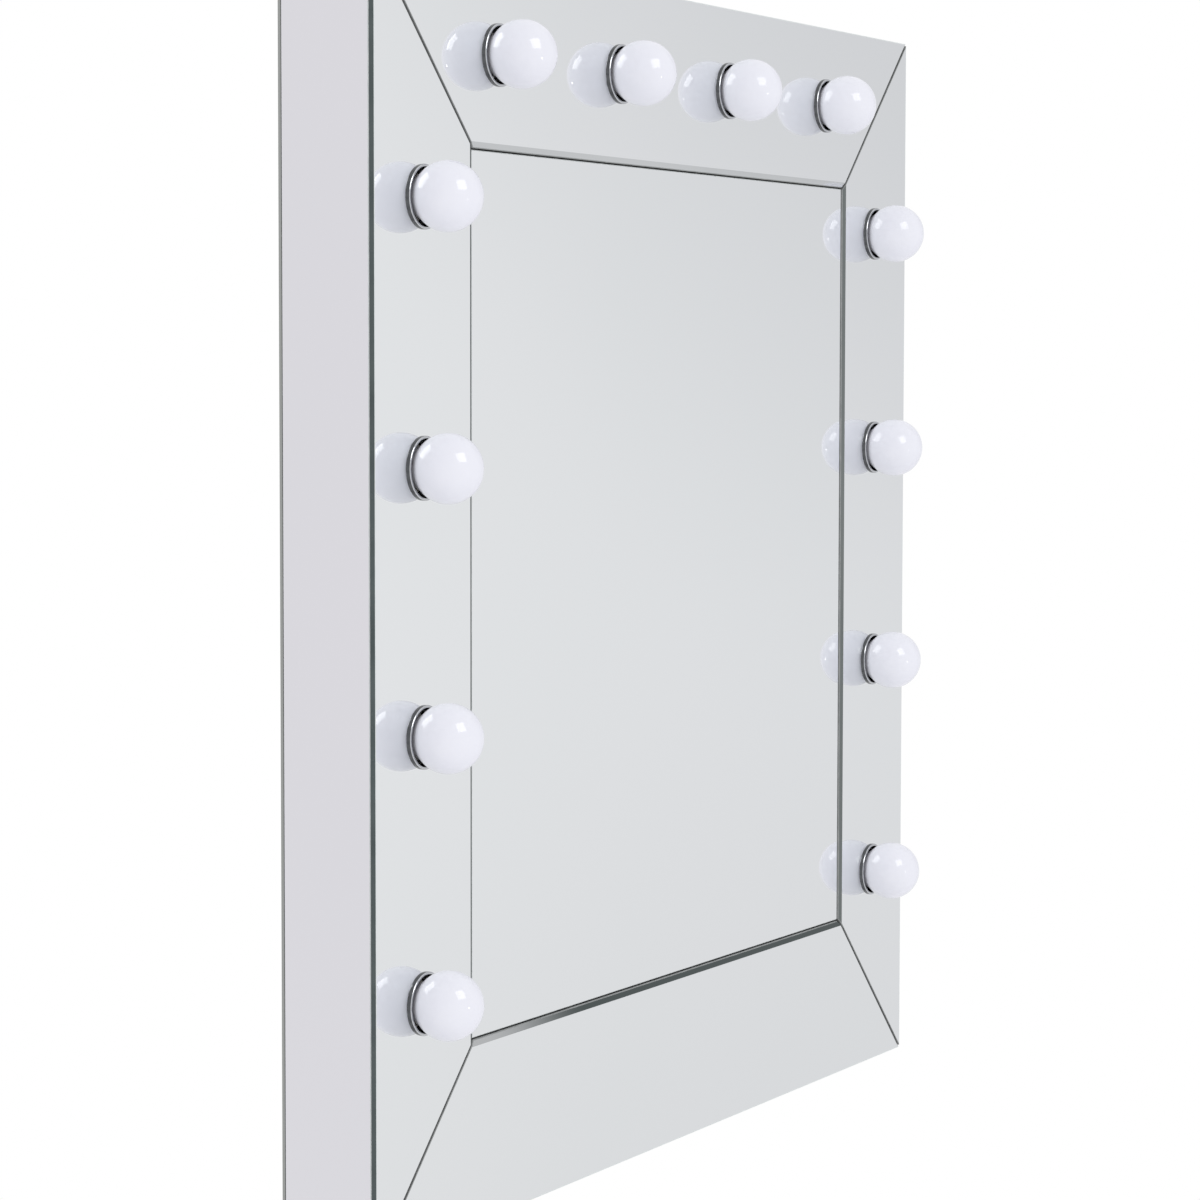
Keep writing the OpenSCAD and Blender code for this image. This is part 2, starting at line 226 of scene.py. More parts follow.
def bevel_with_painted_shade():
    """The left bevel, dull and dark: painted shade for the glass seen through its own thickness."""
    look = Material("left_bevel_painted_shade", IOR=1.5, Specular_IOR_Level=0.05)
    look.colours(look.noise(60.0, 3.0), (0.065, 0.075, 0.075), (0.095, 0.105, 0.105))
    look.roughness(look.noise(80.0), 0.45, 0.6)
    return look.material


def glass_edge():
    look = Material("glass_edge", IOR=1.5)
    look.colours(look.noise(30.0, 4.0, (1.0, 1.0, 0.2)), (0.044, 0.062, 0.062), (0.072, 0.093, 0.092))
    look.roughness(look.noise(220.0, 4.0), 0.14, 0.3)
    return look.material


def glass_arris():
    """The narrow ground chamfer round a pane, which catches the light."""
    look = Material("glass_arris", IOR=1.5)
    look.colours(look.noise(120.0, 4.0), (0.62, 0.655, 0.66), (0.70, 0.73, 0.735))
    look.roughness(look.noise(400.0, 3.0), 0.25, 0.45)
    look.bump(look.noise(2500.0, 2.0), 0.02 * MM)
    return look.material


def ground_glass():
    """The ground edge of a strip where it meets another piece: dull and a middle grey."""
    look = Material("ground_glass", IOR=1.5)
    look.colours(look.noise(90.0, 4.0), (0.23, 0.24, 0.24), (0.29, 0.30, 0.30))
    look.roughness(look.noise(300.0, 3.0), 0.35, 0.55)
    return look.material


def mirror_backing():
    look = Material("mirror_backing", IOR=1.45)
    look.colours(look.noise(60.0, 5.0), (0.20, 0.21, 0.22), (0.26, 0.27, 0.285))
    look.roughness(look.noise(150.0), 0.5, 0.7)
    look.bump(look.noise(900.0, 3.0), 0.03 * MM)
    return look.material


def plated(name, low, high, gloss, grain=0.0, scale=400.0):
    """A plated metal between two colours, with its gloss as (lowest, highest) roughness."""
    look = Material(name, Metallic=1.0)
    look.colours(look.noise(scale * 0.6, 3.0), low, high)
    look.roughness(look.noise(scale, 4.0, (1.0, 1.0, 0.4)), *gloss)
    if grain:
        look.bump(look.noise(scale * 4, 3.0), grain)
    return look.material


def moulded(name, low, high, gloss, grain=0.0, scale=800.0):
    """A moulded plastic or rubber between two colours, with a fine grain."""
    look = Material(name, IOR=1.5)
    look.colours(look.noise(60.0, 3.0), low, high)
    look.roughness(look.noise(scale * 0.3, 4.0), *gloss)
    if grain:
        look.bump(look.noise(scale, 4.0), grain)
    return look.material


def opal():
    """Opal glass: white with a faint lilac cast, and a glassy surface whose gloss varies very slightly."""
    look = Material("opal", IOR=1.4)
    look.colours(look.noise(28.0, 2.0), (0.80, 0.805, 0.878), (0.83, 0.835, 0.90))
    look.roughness(look.noise(70.0, 3.0), 0.01, 0.03)
    return look.material


def fibreboard():
    """Raw fibreboard: pressed fibres as fine flecks in a soft brown."""
    look = Material("raw_fibreboard", IOR=1.4)
    look.colours(look.noise(900.0, 6.0, (1.0, 0.3, 1.0), 1.5), (0.33, 0.22, 0.13), (0.52, 0.38, 0.25))
    look.roughness(look.noise(300.0), 0.75, 0.92)
    look.bump(look.noise(1600.0, 5.0), 0.12 * MM)
    return look.material


def black_board():
    look = Material("black_board", IOR=1.45)
    look.colours(look.noise(250.0, 5.0), (0.011, 0.011, 0.012), (0.022, 0.022, 0.024))
    look.roughness(look.noise(500.0), 0.55, 0.75)
    look.bump(look.noise(1300.0, 4.0), 0.06 * MM)
    return look.material


def hardboard():
    """The back panel: a black face with a fine screen pattern and scuffs, and a pale sawn edge."""
    look = Material("hardboard", IOR=1.45)
    scuffs = look.noise(7.0, 8.0, distortion=0.8)
    look.colours(scuffs, (0.018, 0.018, 0.020), (0.042, 0.042, 0.045), 0.3, 0.8)
    look.roughness(look.noise(18.0, 6.0), 0.42, 0.68)
    look.bump(look.cells(620.0), 0.09 * MM, 0.7)
    faces_along_y = look.tree.nodes.new("ShaderNodeMath")
    faces_along_y.operation = "ABSOLUTE"
    look.tree.links.new(look.part_of("Normal", "Y"), faces_along_y.inputs[0])
    black = look.shader.inputs["Base Color"].links[0].from_socket
    face_or_edge = look.tree.nodes.new("ShaderNodeMix")
    face_or_edge.data_type = "RGBA"
    face_or_edge.inputs[FIRST_COLOUR].default_value = (0.30, 0.31, 0.30, 1)
    look.tree.links.new(black, face_or_edge.inputs[SECOND_COLOUR])
    look.tree.links.new(faces_along_y.outputs["Value"], face_or_edge.inputs["Factor"])
    look.drive("Base Color", face_or_edge.outputs[MIXED_COLOUR])
    return look.material


SILVERED = silvered_glass()
# The bevels' tones are painted reflection and shade: light on the top, dark on the left and the right, and
# darkening along the bottom.
BEVELS = {
    "top": bevel_with_painted_reflection("top_bevel_painted_reflection", (0.62, 0.635, 0.64), (0.67, 0.685, 0.69)),
    "left": bevel_with_painted_shade(),
    "right": bevel_with_painted_reflection("right_bevel_painted_reflection", (0.145, 0.16, 0.16), (0.18, 0.195, 0.195)),
    "bottom": bevel_with_fading_painted_reflection((0.54, 0.55, 0.55), (0.075, 0.092, 0.09), -0.27, -0.13)}
EDGE = glass_edge()
ARRIS = glass_arris()
GROUND = ground_glass()
BACKING = mirror_backing()
OPAL = opal()
CHROME = plated("chrome", (0.50, 0.51, 0.53), (0.56, 0.57, 0.59), (0.03, 0.07))
# A dark copy of the chrome: painted dark reflection on the rings' foot and throat.
CHROME_WITH_PAINTED_REFLECTION = plated("chrome_with_painted_dark_reflection", (0.075, 0.078, 0.085), (0.12, 0.123, 0.13), (0.08, 0.16))
NICKEL = plated("nickel", (0.58, 0.57, 0.54), (0.68, 0.67, 0.64), (0.16, 0.3), 0.01 * MM)
BRASS = plated("brass", (0.56, 0.40, 0.16), (0.68, 0.51, 0.24), (0.18, 0.32), 0.01 * MM)
SOLDER = plated("solder", (0.42, 0.43, 0.44), (0.60, 0.61, 0.62), (0.3, 0.5), 0.03 * MM, 900.0)
ZINC = plated("zinc_plate", (0.44, 0.46, 0.50), (0.62, 0.63, 0.65), (0.2, 0.38), 0.012 * MM, 250.0)
YELLOW_ZINC = plated("yellow_zinc", (0.60, 0.44, 0.17), (0.72, 0.62, 0.36), (0.2, 0.36), 0.01 * MM)
BLACK_GLASS = moulded("black_glass", (0.008, 0.008, 0.010), (0.016, 0.016, 0.02), (0.08, 0.16))
IVORY = moulded("ivory_plastic", (0.66, 0.64, 0.57), (0.72, 0.70, 0.63), (0.35, 0.5), 0.02 * MM)
CLEAR_WHITE = moulded("terminal_plastic", (0.64, 0.65, 0.62), (0.71, 0.72, 0.69), (0.3, 0.45), 0.02 * MM)
BROWN = moulded("brown_insulation", (0.10, 0.045, 0.02), (0.14, 0.065, 0.03), (0.35, 0.5), 0.02 * MM)
RUBBER = moulded("rubber", (0.012, 0.012, 0.012), (0.028, 0.028, 0.028), (0.6, 0.8), 0.04 * MM, 1500.0)
BLACK_MATT = moulded(
    "switch_plastic", (0.014, 0.014, 0.015), (0.024, 0.024, 0.025), (0.42, 0.6), 0.03 * MM, 3000.0)
BLACK_GLOSS = moulded("rocker_plastic", (0.010, 0.010, 0.011), (0.016, 0.016, 0.017), (0.12, 0.22))
BOARD = black_board()
FIBREBOARD = fibreboard()
HARDBOARD = hardboard()


def coat(material, *nodes):
    """A new material for CAD nodes that keep their own mesh."""
    for node in nodes:
        slots = NODES[node].data.materials
        slots.clear()
        slots.append(material)


# ---- outlines, as anticlockwise lists of points ----


def circle(centre, radius, steps=96):
    turns = (2 * math.pi * i / steps for i in range(steps))
    return [Vector((centre[0] + radius * math.cos(t), centre[1] + radius * math.sin(t))) for t in turns]


def rectangle(low, high):
    return [Vector(p) for p in ((low[0], low[1]), (high[0], low[1]), (high[0], high[1]), (low[0], high[1]))]


def rounded(width, height, radius, centre=(0, 0), steps=6):
    """A rectangle with round corners."""
    points = []
    for i, (sx, sy) in enumerate(((1, 1), (-1, 1), (-1, -1), (1, -1))):
        x = centre[0] + sx * (width / 2 - radius)
        y = centre[1] + sy * (height / 2 - radius)
        points += [Vector(p) for p in arc((x, y), radius, 90 * i, 90 * i + 90, steps)]
    return points


def arc(centre, radius, start, end, steps):
    """Points along an arc, between two angles in degrees."""
    angles = (math.radians(start + (end - start) * i / steps) for i in range(steps + 1))
    return [(centre[0] + radius * math.cos(a), centre[1] + radius * math.sin(a)) for a in angles]


def curve(start, pull, end, steps=8):
    """Points along a curve from start to end that leaves and arrives aiming at pull."""
    points = []
    for i in range(steps + 1):
        t = i / steps
        weights = ((1 - t) ** 2, 2 * t * (1 - t), t * t)
        points.append(tuple(sum(w * p[k] for w, p in zip(weights, (start, pull, end))) for k in (0, 1)))
    return points


def inset(outline, distance):
    """An outline moved inwards by a distance along every edge."""
    moved = []
    for i, point in enumerate(outline):
        before = (point - outline[i - 1]).normalized()
        after = (outline[(i + 1) % len(outline)] - point).normalized()
        first = Vector((-before.y, before.x))
        bisector = (first + Vector((-after.y, after.x))).normalized()
        moved.append(point + bisector * (distance / bisector.dot(first)))
    return moved


# ---- meshes ----


def ring_of(bm, outline, heights):
    """Points of a mesh along an outline, at one height or at a height for each."""
    if isinstance(heights, (int, float)):
        heights = [heights] * len(outline)
    return [bm.verts.new((p[0], p[1], h)) for p, h in zip(outline, heights)]


def wall(bm, upper, lower, material):
    """Faces between two rings; a ring of one point makes a fan."""
    count = max(len(upper), len(lower))
    for i in range(count):
        j = (i + 1) % count
        corners = (
            upper[i % len(upper)], lower[i % len(lower)], lower[j % len(lower)], upper[j % len(upper)])
        bm.faces.new(list(dict.fromkeys(corners))).material_index = material


def cap(bm, ring, holes, material):
    """A flat face that fills a ring, less its holes."""
    if not holes:
        bm.faces.new(ring).material_index = material
        return
    edges = []
    for loop in (ring, *holes):
        for i, vert in enumerate(loop):
            pair = (vert, loop[(i + 1) % len(loop)])
            edges.append(bm.edges.get(pair) or bm.edges.new(pair))
    filled = bmesh.ops.triangle_fill(bm, use_beauty=True, edges=edges)
    for face in filled["geom"]:
        if isinstance(face, bmesh.types.BMFace):
            face.material_index = material


def stack(bm, levels, materials):
    """Walls down through (outline, height) levels, with one material for each wall."""
    rings = [ring_of(bm, outline, height) for outline, height in levels]
    for upper, lower, material in zip(rings, rings[1:], materials):
        wall(bm, upper, lower, material)
    return rings


def wall_face(bm, upper, lower, i):
    """The face of a wall between two rings that starts at their point i."""
    j = (i + 1) % len(upper)
    return bm.faces.get((upper[i], lower[i], lower[j], upper[j]))


def slab(outline, thick, edge, hole=False):
    """Levels down the side of a flat piece with chamfered edges, or down a hole through it."""
    narrow = inset(outline, -edge if hole else edge)
    return [(narrow, 0), (outline, -edge), (outline, edge - thick), (narrow, -thick)]


def lathe(bm, profile, material=0, steps=96, closed=False):
    """Turns a profile of (radius, height) round the Z axis. A radius of 0 makes a point."""
    rings = [
        ring_of(bm, circle((0, 0), radius, steps) if radius > 1e-7 else [(0, 0)], height)
        for radius, height in profile]
    pairs = list(zip(rings, rings[1:]))
    if closed:
        pairs.append((rings[-1], rings[0]))
    for upper, lower in pairs:
        wall(bm, upper, lower, material)


def thread(bm, root, crest, pitch, top, bottom, material=0, steps=96, rows=10):
    """A round screw thread between two heights, which runs out to its root at both ends."""
    levels = round((top - bottom) / pitch * rows)
    rings = []
    for row in range(levels + 1):
        fade = min(1.0, 2 * min(row, levels - row) / rows)
        height = top + (bottom - top) * row / levels
        points = []
        for i in range(steps):
            turn = i / steps
            rise = (0.5 + 0.5 * math.cos(2 * math.pi * (height / pitch + turn))) * fade
            radius = root + (crest - root) * rise
            points.append((radius * math.cos(2 * math.pi * turn), radius * math.sin(2 * math.pi * turn)))
        rings.append(ring_of(bm, points, height))
    for upper, lower in zip(rings, rings[1:]):
        wall(bm, upper, lower, material)


def mesh_of(bm, name, materials, sharp=35):
    """A mesh from closed shapes: smooth but for its sharp edges, with its faces outwards."""
    bmesh.ops.remove_doubles(bm, verts=bm.verts, dist=1e-7)
    bmesh.ops.recalc_face_normals(bm, faces=bm.faces)
    mesh = bpy.data.meshes.new(name)
    bm.to_mesh(mesh)
    bm.free()
    for material in materials:
        mesh.materials.append(material)
    mesh.shade_smooth()
    mesh.set_sharp_from_angle(angle=math.radians(sharp))
    return mesh


def placed(name, mesh, body, slot, place, *nodes):
    """A piece at its place, riding on a body and standing for CAD nodes."""
    piece = bpy.data.objects.new(name, mesh)
    bpy.context.scene.collection.objects.link(piece)
    piece.matrix_world = place
    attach(piece, body)
    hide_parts(*nodes)
    return piece


# ---- glass ----

GLASS_LOOKS = [SILVERED, EDGE, ARRIS, GROUND, BACKING]
SILVER_FACE, EDGE_FACE, ARRIS_FACE, GROUND_FACE, BACK_FACE, BEVEL_FACE = range(6)
ARRIS_WIDTH = 0.55 * MM
BEVEL_WIDTH = 4.0 * MM
BEVEL_DROP = 1.4 * MM
# The flatter arris along a strip's outer edge
RIM_WIDTH = 0.7 * MM
RIM_DROP = 0.12 * MM


def strip_levels(outline):
    """Levels down the side of a strip, with two more points where its bevel starts."""
    start = []
    for corner, neighbour in ((outline[2], outline[1]), (outline[3], outline[0])):
        along = (corner - neighbour).normalized()
        start.append(corner - along * (BEVEL_WIDTH / abs(along.y)))
    outline = [outline[0], outline[1], start[0], outline[2], outline[3], start[1]]
    inner = inset(outline, ARRIS_WIDTH)
    face = list(inner)
    wider = RIM_WIDTH - ARRIS_WIDTH
    for i in (0, 1):
        face[i] = inner[i] + Vector((math.copysign(wider, -inner[i].x), wider))
    for i in (2, 5):
        face[i] = Vector((inner[i].x, outline[i].y))
    bevel_end = -BEVEL_DROP * (BEVEL_WIDTH - ARRIS_WIDTH) / BEVEL_WIDTH
    arris_end = -BEVEL_DROP - ARRIS_WIDTH
    return [
        (face, [0, 0, 0, bevel_end, bevel_end, 0]),
        (outline, [-RIM_DROP, -RIM_DROP, -ARRIS_WIDTH, arris_end, arris_end, -ARRIS_WIDTH]),
        (outline, ARRIS_WIDTH - GLASS), (inner, -GLASS)]


def pane(name, outline, holes, bevel=None):
    """A pane of mirror glass, with its front at height 0 and a ground arris on every edge.

    A strip comes with the material of its bevel. The bevel runs along the edge between its
    outline's third and fourth points, and its outer edge between the first and the second.
    """
    bm = bmesh.new()
    arris = GROUND_FACE if bevel else ARRIS_FACE
    walls = (arris, EDGE_FACE, arris)
    rings = stack(bm, strip_levels(outline) if bevel else slab(outline, GLASS, ARRIS_WIDTH), walls)
    bores = [stack(bm, slab(hole, GLASS, ARRIS_WIDTH, hole=True), walls) for hole in holes]
    flat = rings[0]
    if bevel:
        wall_face(bm, rings[0], rings[1], 0).material_index = ARRIS_FACE
        for i in range(1, len(rings[1])):
            wall_face(bm, rings[1], rings[2], i).material_index = GROUND_FACE
        bm.faces.new(rings[0][2:]).material_index = BEVEL_FACE
        flat = [rings[0][i] for i in (0, 1, 2, 5)]
    cap(bm, flat, [bore[0] for bore in bores], SILVER_FACE)
    cap(bm, rings[-1], [bore[-1] for bore in bores], BACK_FACE)
    return mesh_of(bm, name, GLASS_LOOKS + ([bevel] if bevel else []), sharp=5)


def frame_mirrors():
    """The four mitred strips; each is the bottom one turned round to its side."""
    lamp_hole = 19.2 * MM
    outline = [Vector(p) for p in (
        (-STRIP_END, -HALF), (STRIP_END, -HALF),
        (STRIP_END - STRIP, STRIP - HALF), (STRIP - STRIP_END, STRIP - HALF))]
    for side, turn in (("bottom", 0), ("left", 90), ("top", 180), ("right", 270)):
        place = (Matrix.Translation((0, FRONT_Y, 0))
                 @ Matrix.Rotation(math.radians(turn), 4, "Y") @ OUT_OF_FRONT)
        centres = [place.inverted() @ LAMP_CENTRES[lamp] for lamp in LAMPS if lamp.startswith(side)]
        name = f"{side}_strip_glass"
        mesh = pane(name, outline, [circle(centre, lamp_hole) for centre in centres], BEVELS[side])
        placed(name, mesh, "cabinet", "mirror_glass", place, f"frame_mirror_{side}")


def centre_mirror():
    outline = rectangle((CENTRE_LOW.x, CENTRE_LOW.z), (CENTRE_HIGH.x, CENTRE_HIGH.z))
    place = Matrix.Translation((0, CENTRE_LOW.y, 0)) @ OUT_OF_FRONT
    mesh = pane("centre_glass", outline, [])
    placed("centre_glass", mesh, "cabinet", "mirror_glass", place, "centre_mirror")


SWITCH = middle("switch_housing")
BUSH = middle("cable_bush")
SWITCH_BODY = (19.0 * MM, 12.6 * MM)
SWITCH_CORNER = 0.6 * MM
BUSH_R = 7.0 * MM


def side_mirrors():
    """The four panes that clad the box's sides; the bottom one is cut for the switch and the bush."""
    play = 0.4 * MM
    cuts = [
        rounded(SWITCH_BODY[0] + play, SWITCH_BODY[1] + play, SWITCH_CORNER, (-SWITCH.x, SWITCH.y)),
        circle((-BUSH.x, BUSH.y), BUSH_R)]
    outwards = {"left": (-1, 0, 0), "right": (1, 0, 0), "top": (0, 0, 1), "bottom": (0, 0, -1)}
    depth = Vector((0, 1, 0))
    for side, direction in outwards.items():
        low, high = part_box(f"side_mirror_{side}")
        out = Vector(direction)
        along = depth.cross(out)
        place = Matrix.Translation(out * HALF) @ Matrix((along, depth, out)).transposed().to_4x4()
        half_length = abs((high - low).dot(along)) / 2
        outline = rectangle((-half_length, low.y), (half_length, high.y))
        name = f"{side}_side_glass"
        mesh = pane(name, outline, cuts if side == "bottom" else [])
        placed(name, mesh, "cabinet", "mirror_glass", place, f"side_mirror_{side}")


# ---- lamps, drawn on their axis with heights out of the front glass ----

GLOBE_LOW, GLOBE_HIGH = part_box("bulb_globe_left_1")
CAP_LOW, CAP_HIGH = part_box("bulb_cap_left_1")
RING_LOW, RING_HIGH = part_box("trim_ring_left_1")
GLOBE_R = (GLOBE_HIGH.x - GLOBE_LOW.x) / 2
GLOBE_TOP = FRONT_Y - GLOBE_LOW.y
NECK_BOTTOM = FRONT_Y - GLOBE_HIGH.y
SKIRT_R = (CAP_HIGH.x - CAP_LOW.x) / 2
TIP = FRONT_Y - CAP_HIGH.y
RING_R = (RING_HIGH.x - RING_LOW.x) / 2
RING_HEIGHT = FRONT_Y - RING_LOW.y
BOARD_BACK = FRONT_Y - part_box("front_board")[1].y
HOLDER_END = FRONT_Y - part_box("lampholders")[1].y
THREAD_PITCH = 2.82 * MM
CAP_ROOT = 6.45 * MM
CAP_CREST = 6.95 * MM


def globe_mesh():
    """A hollow globe that flows into its neck."""
    thickness = 1.2 * MM
    neck_r = 9.5 * MM
    centre = GLOBE_TOP - GLOBE_R
    crook = (math.sqrt(GLOBE_R**2 - (centre - MM) ** 2), MM)
    neck_start = (crook[0] - 2.2 * MM, crook[1] - 5.1 * MM)
    arc_end = -40
    steps = 56
    outer = arc((0, centre), GLOBE_R, 90, arc_end, steps)
    outer += curve(outer[-1], crook, neck_start)[1:]
    outer += [(neck_r, NECK_BOTTOM + 0.4 * MM), (neck_r - 0.3 * MM, NECK_BOTTOM)]
    inner = arc((0, centre), GLOBE_R - thickness, 90, arc_end, steps)
    inner_crook, inner_neck = ((r - thickness, h) for r, h in (crook, neck_start))
    inner += curve(inner[-1], inner_crook, inner_neck)[1:]
    inner.append((neck_r - thickness, NECK_BOTTOM))
    bm = bmesh.new()
    lathe(bm, [(max(r, 0.0), h) for r, h in outer + inner[::-1]])
    return mesh_of(bm, "globe", [OPAL])


def cap_mesh():
    """The screw cap: flared skirt, rolled thread, black glass insulator and soldered contact."""
    metal, insulator, contact = range(3)
    thread_top = NECK_BOTTOM - 3.5 * MM
    thread_end = thread_top - 6 * THREAD_PITCH
    insulator_top = thread_end - 0.9 * MM
    insulator_r = CAP_ROOT - 0.7 * MM
    contact_top = TIP + 1.5 * MM
    contact_r = 2.4 * MM
    bm = bmesh.new()
    lathe(bm, [
        (0, NECK_BOTTOM), (SKIRT_R - 0.2 * MM, NECK_BOTTOM), (SKIRT_R, NECK_BOTTOM - 0.2 * MM),
        (SKIRT_R, NECK_BOTTOM - 0.6 * MM),
        *curve((SKIRT_R, NECK_BOTTOM - 0.9 * MM), (CAP_ROOT, thread_top + 2 * MM), (CAP_ROOT, thread_top))],
        metal)
    thread(bm, CAP_ROOT, CAP_CREST, THREAD_PITCH, thread_top, thread_end, metal)
    lathe(bm, [*arc((insulator_r, thread_end), CAP_ROOT - insulator_r, 0, -90, 5),
               (insulator_r, insulator_top)], metal)
    lathe(bm, curve((insulator_r, insulator_top), (insulator_r, contact_top), (contact_r, contact_top)),
          insulator)
    lathe(bm, curve((contact_r, contact_top), (contact_r, TIP), (0, TIP)), contact)
    return mesh_of(bm, "cap", [NICKEL, BLACK_GLASS, SOLDER])


def ring_mesh():
    """The chrome ring: a spigot through the glass and the board, under a low rolled lip.

    The lip's crown is bright, and its outer foot and its throat are darker: a second, dark chrome paints
    their dark reflection.
    """
    spigot_r = 18.9 * MM
    bore_r = 17.3 * MM
    lip_r = 0.9 * MM
    throat = -0.8 * MM
    lip_inner = RING_R - 1.5 * MM
    bright, dark = range(2)
    roll = arc((RING_R - lip_r, RING_HEIGHT - lip_r), lip_r, 0, 90, 9)
    funnel = curve((lip_inner, RING_HEIGHT), (bore_r + lip_r, RING_HEIGHT - lip_r), (bore_r, throat), 6)
    bm = bmesh.new()
    lathe(bm, [(spigot_r, 0), (RING_R, 0), *roll[:4]], dark)
    lathe(bm, [*roll[3:], *funnel[:4]], bright)
    lathe(bm, [*funnel[3:], (bore_r, BOARD_BACK), (spigot_r, BOARD_BACK), (spigot_r, 0)], dark)
    return mesh_of(bm, "ring", [CHROME, CHROME_WITH_PAINTED_REFLECTION])


def holder_mesh():
    """A lampholder: flange against the board, fluted body, and a brass liner for the cap."""
    plastic, metal = range(2)
    flange_r = 22.0 * MM
    flange_back = BOARD_BACK - 3 * MM
    body_r = 14.5 * MM
    collar_r = 17.0 * MM
    collar_top = BOARD_BACK + 7 * MM
    mouth_r = 14.0 * MM
    recess_r = 12.0 * MM
    recess_floor = BOARD_BACK - 2 * MM
    liner_root = 7.6 * MM
    liner_crest = 7.2 * MM
    liner_end = TIP + 2 * MM
    body_end = HOLDER_END + 1.3 * MM
    boss_r = 9.0 * MM
    bore_floor = TIP - 0.4 * MM
    flutes = 24
    flute_depth = 0.5 * MM
    edge = 0.4 * MM
    bm = bmesh.new()
    steps = 192
    lathe(bm, [
        (collar_r, BOARD_BACK), (collar_r, collar_top - edge), (collar_r - edge, collar_top),
        (mouth_r + edge, collar_top), (mouth_r, collar_top - edge), (mouth_r, BOARD_BACK),
        (recess_r, BOARD_BACK), (recess_r, recess_floor), (liner_root, recess_floor)], plastic, steps)
    thread(bm, liner_root, liner_crest, THREAD_PITCH, recess_floor, liner_end, metal, steps)
    lathe(bm, [(liner_root, liner_end), (liner_root, bore_floor), (0, bore_floor)], plastic, steps)
    lathe(bm, [(collar_r, BOARD_BACK), (flange_r - edge, BOARD_BACK), (flange_r, BOARD_BACK - edge),
               (flange_r, flange_back + edge), (flange_r - edge, flange_back), (body_r, flange_back)],
          plastic, steps)
    spokes = circle((0, 0), 1.0, steps)
    plain = [spoke * body_r for spoke in spokes]
    rib = []
    for i, spoke in enumerate(spokes):
        dip = (1 - math.cos(2 * math.pi * flutes * i / steps)) / 2
        rib.append(spoke * (body_r - flute_depth * dip))
    stack(bm, [(plain, flange_back), (rib, flange_back - MM), (rib, body_end + MM), (plain, body_end)],
          [plastic] * 3)
    lathe(bm, [(body_r, body_end), (boss_r, body_end), (boss_r, HOLDER_END + edge),
               (boss_r - edge, HOLDER_END), (0, HOLDER_END)], plastic, steps)
    return mesh_of(bm, "lampholder", [IVORY, BRASS])


def lamps():
    globe, screw_cap, ring, holder = globe_mesh(), cap_mesh(), ring_mesh(), holder_mesh()
    for lamp in LAMPS:
        place = Matrix.Translation(LAMP_CENTRES[lamp]) @ OUT_OF_FRONT
        placed(f"globe_{lamp}", globe, f"bulb_{lamp}", "opal_globe", place, f"bulb_globe_{lamp}")
        placed(f"cap_{lamp}", screw_cap, f"bulb_{lamp}", "lamp_cap_metal", place, f"bulb_cap_{lamp}")
        placed(f"ring_{lamp}", ring, "cabinet", "chrome_trim", place, f"trim_ring_{lamp}")
        placed(f"lampholder_{lamp}", holder, "cabinet", "holder_plastic", place, "lampholders")


# ---- the back ----

SCREW_R = 1.5 * MM
SCREW_HEAD_R = 2.9 * MM
SCREW_HEAD = 1.5 * MM
SCREW_SINK = 0.1 * MM


def cross(reach, half_width):
    """The outline of a cross recess."""
    r, w = reach, half_width
    return [Vector(p) for p in (
        (r, -w), (r, w), (w, w), (w, r), (-w, r), (-w, w),
        (-r, w), (-r, -w), (-w, -w), (-w, -r), (w, -r), (w, -w))]


def screw_mesh(length):
    """A countersunk wood screw with a cross recess, its head at height 0 and its point below."""
    edge = 0.12 * MM
    point = 4 * MM
    core = 1.0 * MM
    recess_depth = 0.95 * MM
    recess_levels = [(cross(1.5 * MM, 0.32 * MM), 0), (cross(0.75 * MM, 0.2 * MM), -recess_depth)]
    bm = bmesh.new()
    recess = stack(bm, recess_levels, [0])
    cap(bm, recess[-1], [], 0)
    steps = 48
    rim = ring_of(bm, circle((0, 0), SCREW_HEAD_R - edge, steps), 0)
    cap(bm, rim, [recess[0]], 0)
    lathe(bm, [(SCREW_HEAD_R - edge, 0), (SCREW_HEAD_R, -edge), (SCREW_R, -SCREW_HEAD),
               (SCREW_R, -SCREW_HEAD - MM), (core, -SCREW_HEAD - 1.5 * MM)], 0, steps)
    thread(bm, core, SCREW_R, 1.35 * MM, -SCREW_HEAD - 1.5 * MM, point - length, 0, steps, 8)
    lathe(bm, [(core, point - length), (0.55 * MM, 1.4 * MM - length), (0, -length)], 0, steps)
    return mesh_of(bm, "wood_screw", [YELLOW_ZINC])


def in_back(low, high):
    """The place of a piece that lies flush in the back, from its box."""
    return Matrix.Translation(((low.x + high.x) / 2, high.y, (low.z + high.z) / 2)) @ OUT_OF_BACK


def wood_screws():
    """Screws that were each driven home at another turn."""
    degrees_apart = 37
    boxes = islands("wood_screws")
    depth = max(high.y - low.y for low, high in boxes)
    mesh = screw_mesh(depth)
    boxes.sort(key=lambda box: (round(box[0].z, 4), round(box[0].x, 4)))
    for i, (low, high) in enumerate(boxes):
        place = in_back(low, high) @ Matrix.Rotation(math.radians(degrees_apart * i), 4, "Z")
        placed(f"wood_screw_{i + 1}", mesh, "cabinet", "yellow_zinc_steel", place, "wood_screws")


def keyhole():
    """A round hole for a screw's head, with a narrow slot above it for its shank."""
    entry_r = 5.0 * MM
    entry_y = -6.0 * MM
    slot_r = 2.5 * MM
    slot_y = 8.0 * MM
    corner = math.degrees(math.acos(slot_r / entry_r))
    outline = arc((0, slot_y), slot_r, 0, 180, 16)
    outline += arc((0, entry_y), entry_r, 180 - corner, 360 + corner, 48)
    return [Vector(p) for p in outline]


